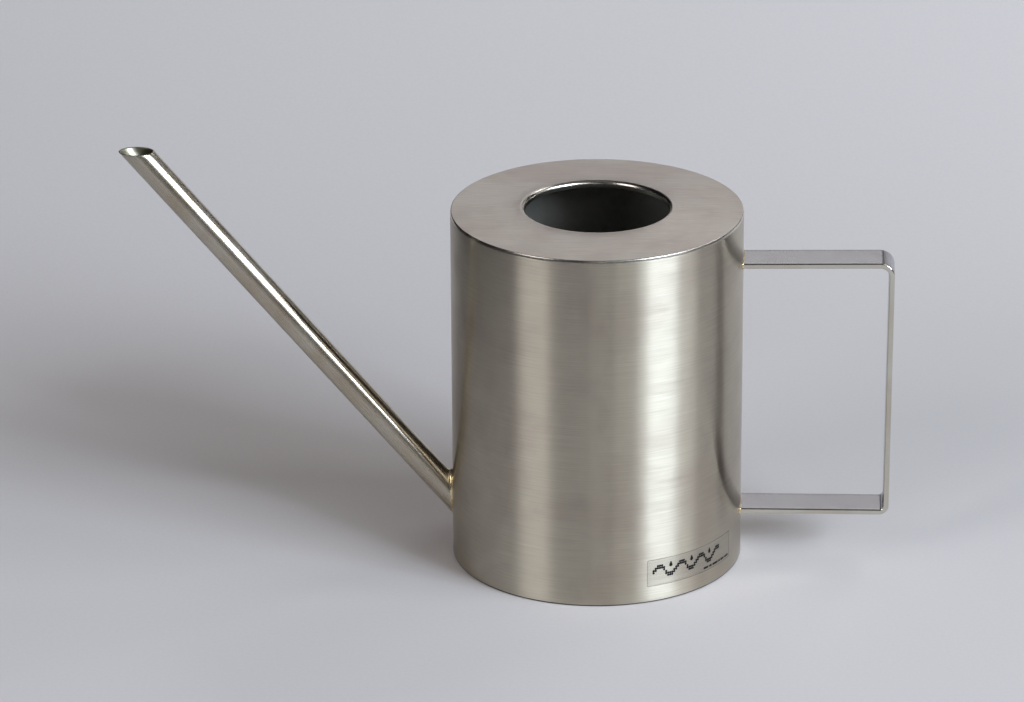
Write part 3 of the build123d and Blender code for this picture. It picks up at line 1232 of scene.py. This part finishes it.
    def print(self) -> Piece:
        """The print: a wave of dots on a square grid, drops above it, and a row of plain bars.

        Column k of the wave has two dots, on grid rows round(2 + 2 sin(2 pi k / 11)) and the one
        below. A drop is a circle drawn out upwards by 1 + 1.3 sin^6 of the bearing.
        """
        s = self.size
        low_corner, high_corner = self.extent()
        turn = np.linspace(0, 2 * np.pi, self.steps, endpoint=False)
        circle = np.stack([np.cos(turn), np.sin(turn)], axis=1)
        column = np.arange(self.dots)
        left, foot = low_corner + np.array(self.wave_place)
        row = np.round(2 + 2 * np.sin(2 * np.pi * column / 11))
        across = left + column * self.pitch
        pairs = [np.stack([across, foot + (row - k) * self.pitch], axis=1) for k in (0, 1)]
        dots = np.vstack(pairs)[:, None] + self.dot * circle
        hung = left + self.pitch * np.array(self.drop_columns)
        drop_at = np.stack([hung, np.full(len(hung), s.film_low + self.drop_height)], axis=1)
        stretch = 1 + 1.3 * np.clip(np.sin(turn), 0, 1) ** 6
        drops = drop_at[:, None] + self.drop * circle * np.stack([np.ones(self.steps), stretch], axis=1)
        bars, x = [], high_corner[0] - self.bars_from_end
        for length in self.bar_lengths_mm:
            low = np.array([x, s.film_low + self.bar_low])
            bars.append(self.box_outline(low, low + np.array([length * MM, self.bar_height])))
            x += length * MM + self.bar_gap
        outlines = np.concatenate([dots, drops, np.stack(bars)])
        top = s.film_radius + self.ink_thickness
        return self.wrap("label_print", outlines, s.film_radius - self.ink_thickness, top, 1)


# -------------------------------------------------------------------------------------------- the room


def outward(bearing: float, elevation: float) -> Vector:
    """Unit vector away from the can: degrees from the front towards the handle, and above the floor."""
    turn, lift = math.radians(bearing), math.radians(elevation)
    return Vector((math.sin(turn) * math.cos(lift), -math.cos(turn) * math.cos(lift), math.sin(lift)))


@dataclass(frozen=True)
class SoftBox:
    """A rectangular soft box that faces the can.

    Attributes:
        name: light name.
        bearing: degrees round the can from the front towards the handle.
        elevation: degrees above the floor.
        distance: from the can, in metres.
        width: across, in metres.
        height: up, in metres.
        power: watts.
        colour: light colour.
        aim: point that the box faces, and from which bearing, elevation and distance are taken.
    """

    name: str
    bearing: float
    elevation: float
    distance: float
    width: float
    height: float
    power: float
    colour: str = "#FFFFFF"
    aim: tuple[float, float, float] = (0.0, 0.0, 0.07)

    def build(self) -> Piece:
        """Stand the light at its place, facing its aim."""
        lamp = bpy.data.lights.new(self.name, "AREA")
        lamp.shape, lamp.size, lamp.size_y = "RECTANGLE", self.width, self.height
        lamp.energy = self.power
        lamp.color = linear(self.colour)[:3]
        away = outward(self.bearing, self.elevation)
        light = add_object(self.name, lamp)
        light.location = Vector(self.aim) + away * self.distance
        light.rotation_euler = (-away).to_track_quat("-Z", "Y").to_euler()
        return light


@dataclass(frozen=True)
class Viewpoint:
    """The camera: a long lens about two metres away, looking down on the can.

    Attributes:
        bearing: degrees round the can from the front towards the handle.
        elevation: degrees above the floor.
        roll: degrees that the camera leans.
        distance: from the point that it turns about, in metres.
        height: of that point above the base's centre.
        slide: how far right and up of that point the camera aims, in metres.
        lens: focal length in millimetres, on a 36 mm wide sensor.
    """

    bearing: float = 2.0
    elevation: float = 22.225
    roll: float = -0.3048
    distance: float = 2.0
    height: float = 68 * MM
    slide: Pair = (-31.56 * MM, 10.63 * MM)
    lens: float = 189.04

    def build(self) -> Piece:
        """Place the camera and make it the scene's."""
        turn, lean = math.radians(self.bearing), math.radians(self.roll)
        right = Vector((math.cos(turn), math.sin(turn), 0))
        away = outward(self.bearing, self.elevation)
        up = away.cross(right)
        middle = Vector((0, 0, self.height))
        place = middle + away * self.distance
        back = (place - middle - right * self.slide[0] - up * self.slide[1]).normalized()
        level = Vector((0, 0, 1)).cross(back).normalized()
        rise = back.cross(level)
        across = level * math.cos(lean) + rise * math.sin(lean)
        upright = rise * math.cos(lean) - level * math.sin(lean)
        lens = bpy.data.cameras.new("camera")
        lens.lens, lens.sensor_width, lens.clip_start, lens.clip_end = self.lens, 36.0, 0.01, 50.0
        camera = add_object("camera", lens)
        axes = Matrix((across, upright, back)).transposed().to_4x4()
        camera.matrix_world = Matrix.Translation(place) @ axes
        bpy.context.scene.camera = camera
        return camera


@dataclass
class Room:
    """Pale paper floor that curves up behind the can, soft boxes round it, and the camera.

    Attributes:
        ambient: colour of the light that the rest of the room throws back.
        ambient_strength: its strength.
        paper_x: left and right edge of the paper.
        paper_y: its front edge.
        bend_start: where the paper begins to rise.
        bend_radius: radius of the rise.
        bend_angle: how far it rises, in degrees.
        table_half: half the side of the table.
        lights: the soft boxes.
    """

    ambient: str = "#C8CCD6"
    ambient_strength: float = 0.004
    paper_x: Pair = (-0.38, 0.9)
    paper_y: float = -1.0
    bend_start: float = 0.215
    bend_radius: float = 0.85
    bend_angle: float = 39.0
    table_half: float = 4.0
    lights: tuple[SoftBox, ...] = (
        SoftBox("key_box", 56, 26, 3.4, 1.36, 1.05, 110, "#E0EFFF"),
        SoftBox("key_spill", 41, 29, 2.4, 0.45, 0.75, 9.9, "#E8F3FF"),
        SoftBox("front_spill", 24, 29, 2.4, 0.6, 0.75, 3.0),
        SoftBox("front_card", 4, 18, 2.0, 0.5, 0.75, 0.5),
        SoftBox("side_card", 79, 29, 2.4, 0.6, 0.75, 12.2, "#F0F6FF"),
        SoftBox("far_side_card", 105, 25, 2.4, 0.8, 0.75, 1.6, "#F2F6FF"),
        SoftBox("left_strip", -49, 30, 2.0, 0.85, 1.1, 11.9, "#FBFBFF"),
        SoftBox("back_panel", 180, 27.2, 1.69, 0.6, 0.4, 0.89, aim=(0.0, 0.0, 0.13)),
        SoftBox("low_back_panel", 180, 13.9, 1.55, 0.6, 0.4, 0.26, aim=(0.0, 0.0, 0.13)),
        SoftBox("right_back_card", 158, 10, 1.5, 0.5, 0.35, 0.35, aim=(0.0, 0.0, 0.13)),
        SoftBox("ceiling_panel", 0, 88, 2.2, 1.6, 1.6, 1.0),
        SoftBox("paper_wash", 119.7, 69.5, 1.15, 0.6, 0.3, 3.16, aim=(0.35, 0.7, 0.12)),
    )

    def build(self) -> None:
        """Lay the paper, light it and place the camera."""
        paper, table = self.sweep(), self.table()
        paper.data.materials.append(PaperSweep().material())
        table.data.materials.append(PaperSweep("dark_table_top", colour="#2E2B28", roughness=0.7).material())
        for box in self.lights:
            box.build()
        world = bpy.data.worlds.new("studio_ambient")
        world.use_nodes = True
        background = world.node_tree.nodes["Background"]
        background.inputs["Color"].default_value = linear(self.ambient)
        background.inputs["Strength"].default_value = self.ambient_strength
        bpy.context.scene.world = world
        bpy.context.scene.view_settings.view_transform = "Standard"
        Viewpoint().build()

    def sweep(self) -> Piece:
        """The paper: flat under the can, then a wide arc that rises behind it and ends, carried along X.

        The arc ends just above what the camera sees.
        """
        bend = arc((self.bend_start, self.bend_radius), self.bend_radius, -90, -90 + self.bend_angle, 24)
        flat = straight((self.paper_y, 0), (self.bend_start, 0), 6)
        profile = np.vstack([[[self.paper_y, 0.0]], flat, bend])
        return self.carried("paper_floor", profile, *self.paper_x)

    def table(self) -> Piece:
        """The dark table that the paper lies on."""
        half = self.table_half
        return self.carried("table_top", np.array([[-half, -MM], [half, -MM]]), -half, half)

    @staticmethod
    def carried(name: str, profile: Array, left: float, right: float) -> Piece:
        """An open sheet: a line of (y, z) points carried along X from left to right."""
        across = np.linspace(left, right, 9)
        x, y = np.meshgrid(across, profile[:, 0])
        z = np.repeat(profile[:, 1:], len(across), axis=1)
        quads = grid_faces(len(profile), len(across), False, False)
        mesh = bpy.data.meshes.new(name)
        mesh.from_pydata(np.stack([x, y, z], axis=2).reshape(-1, 3).tolist(), [], quads.tolist())
        mesh.polygons.foreach_set("use_smooth", np.ones(len(quads), bool))
        return add_object(name, mesh)


def main() -> None:
    """Build and dress each sub-assembly, then the room."""
    size = Design.from_frame()
    for part in (CanBody(size), PouringSpout(size), StrapHandle(size), Label(size)):
        part.dress(part.build())
    Room().build()


if __name__ == "__main__":
    logging.basicConfig(level=logging.INFO, format="%(name)s: %(message)s")
    main()
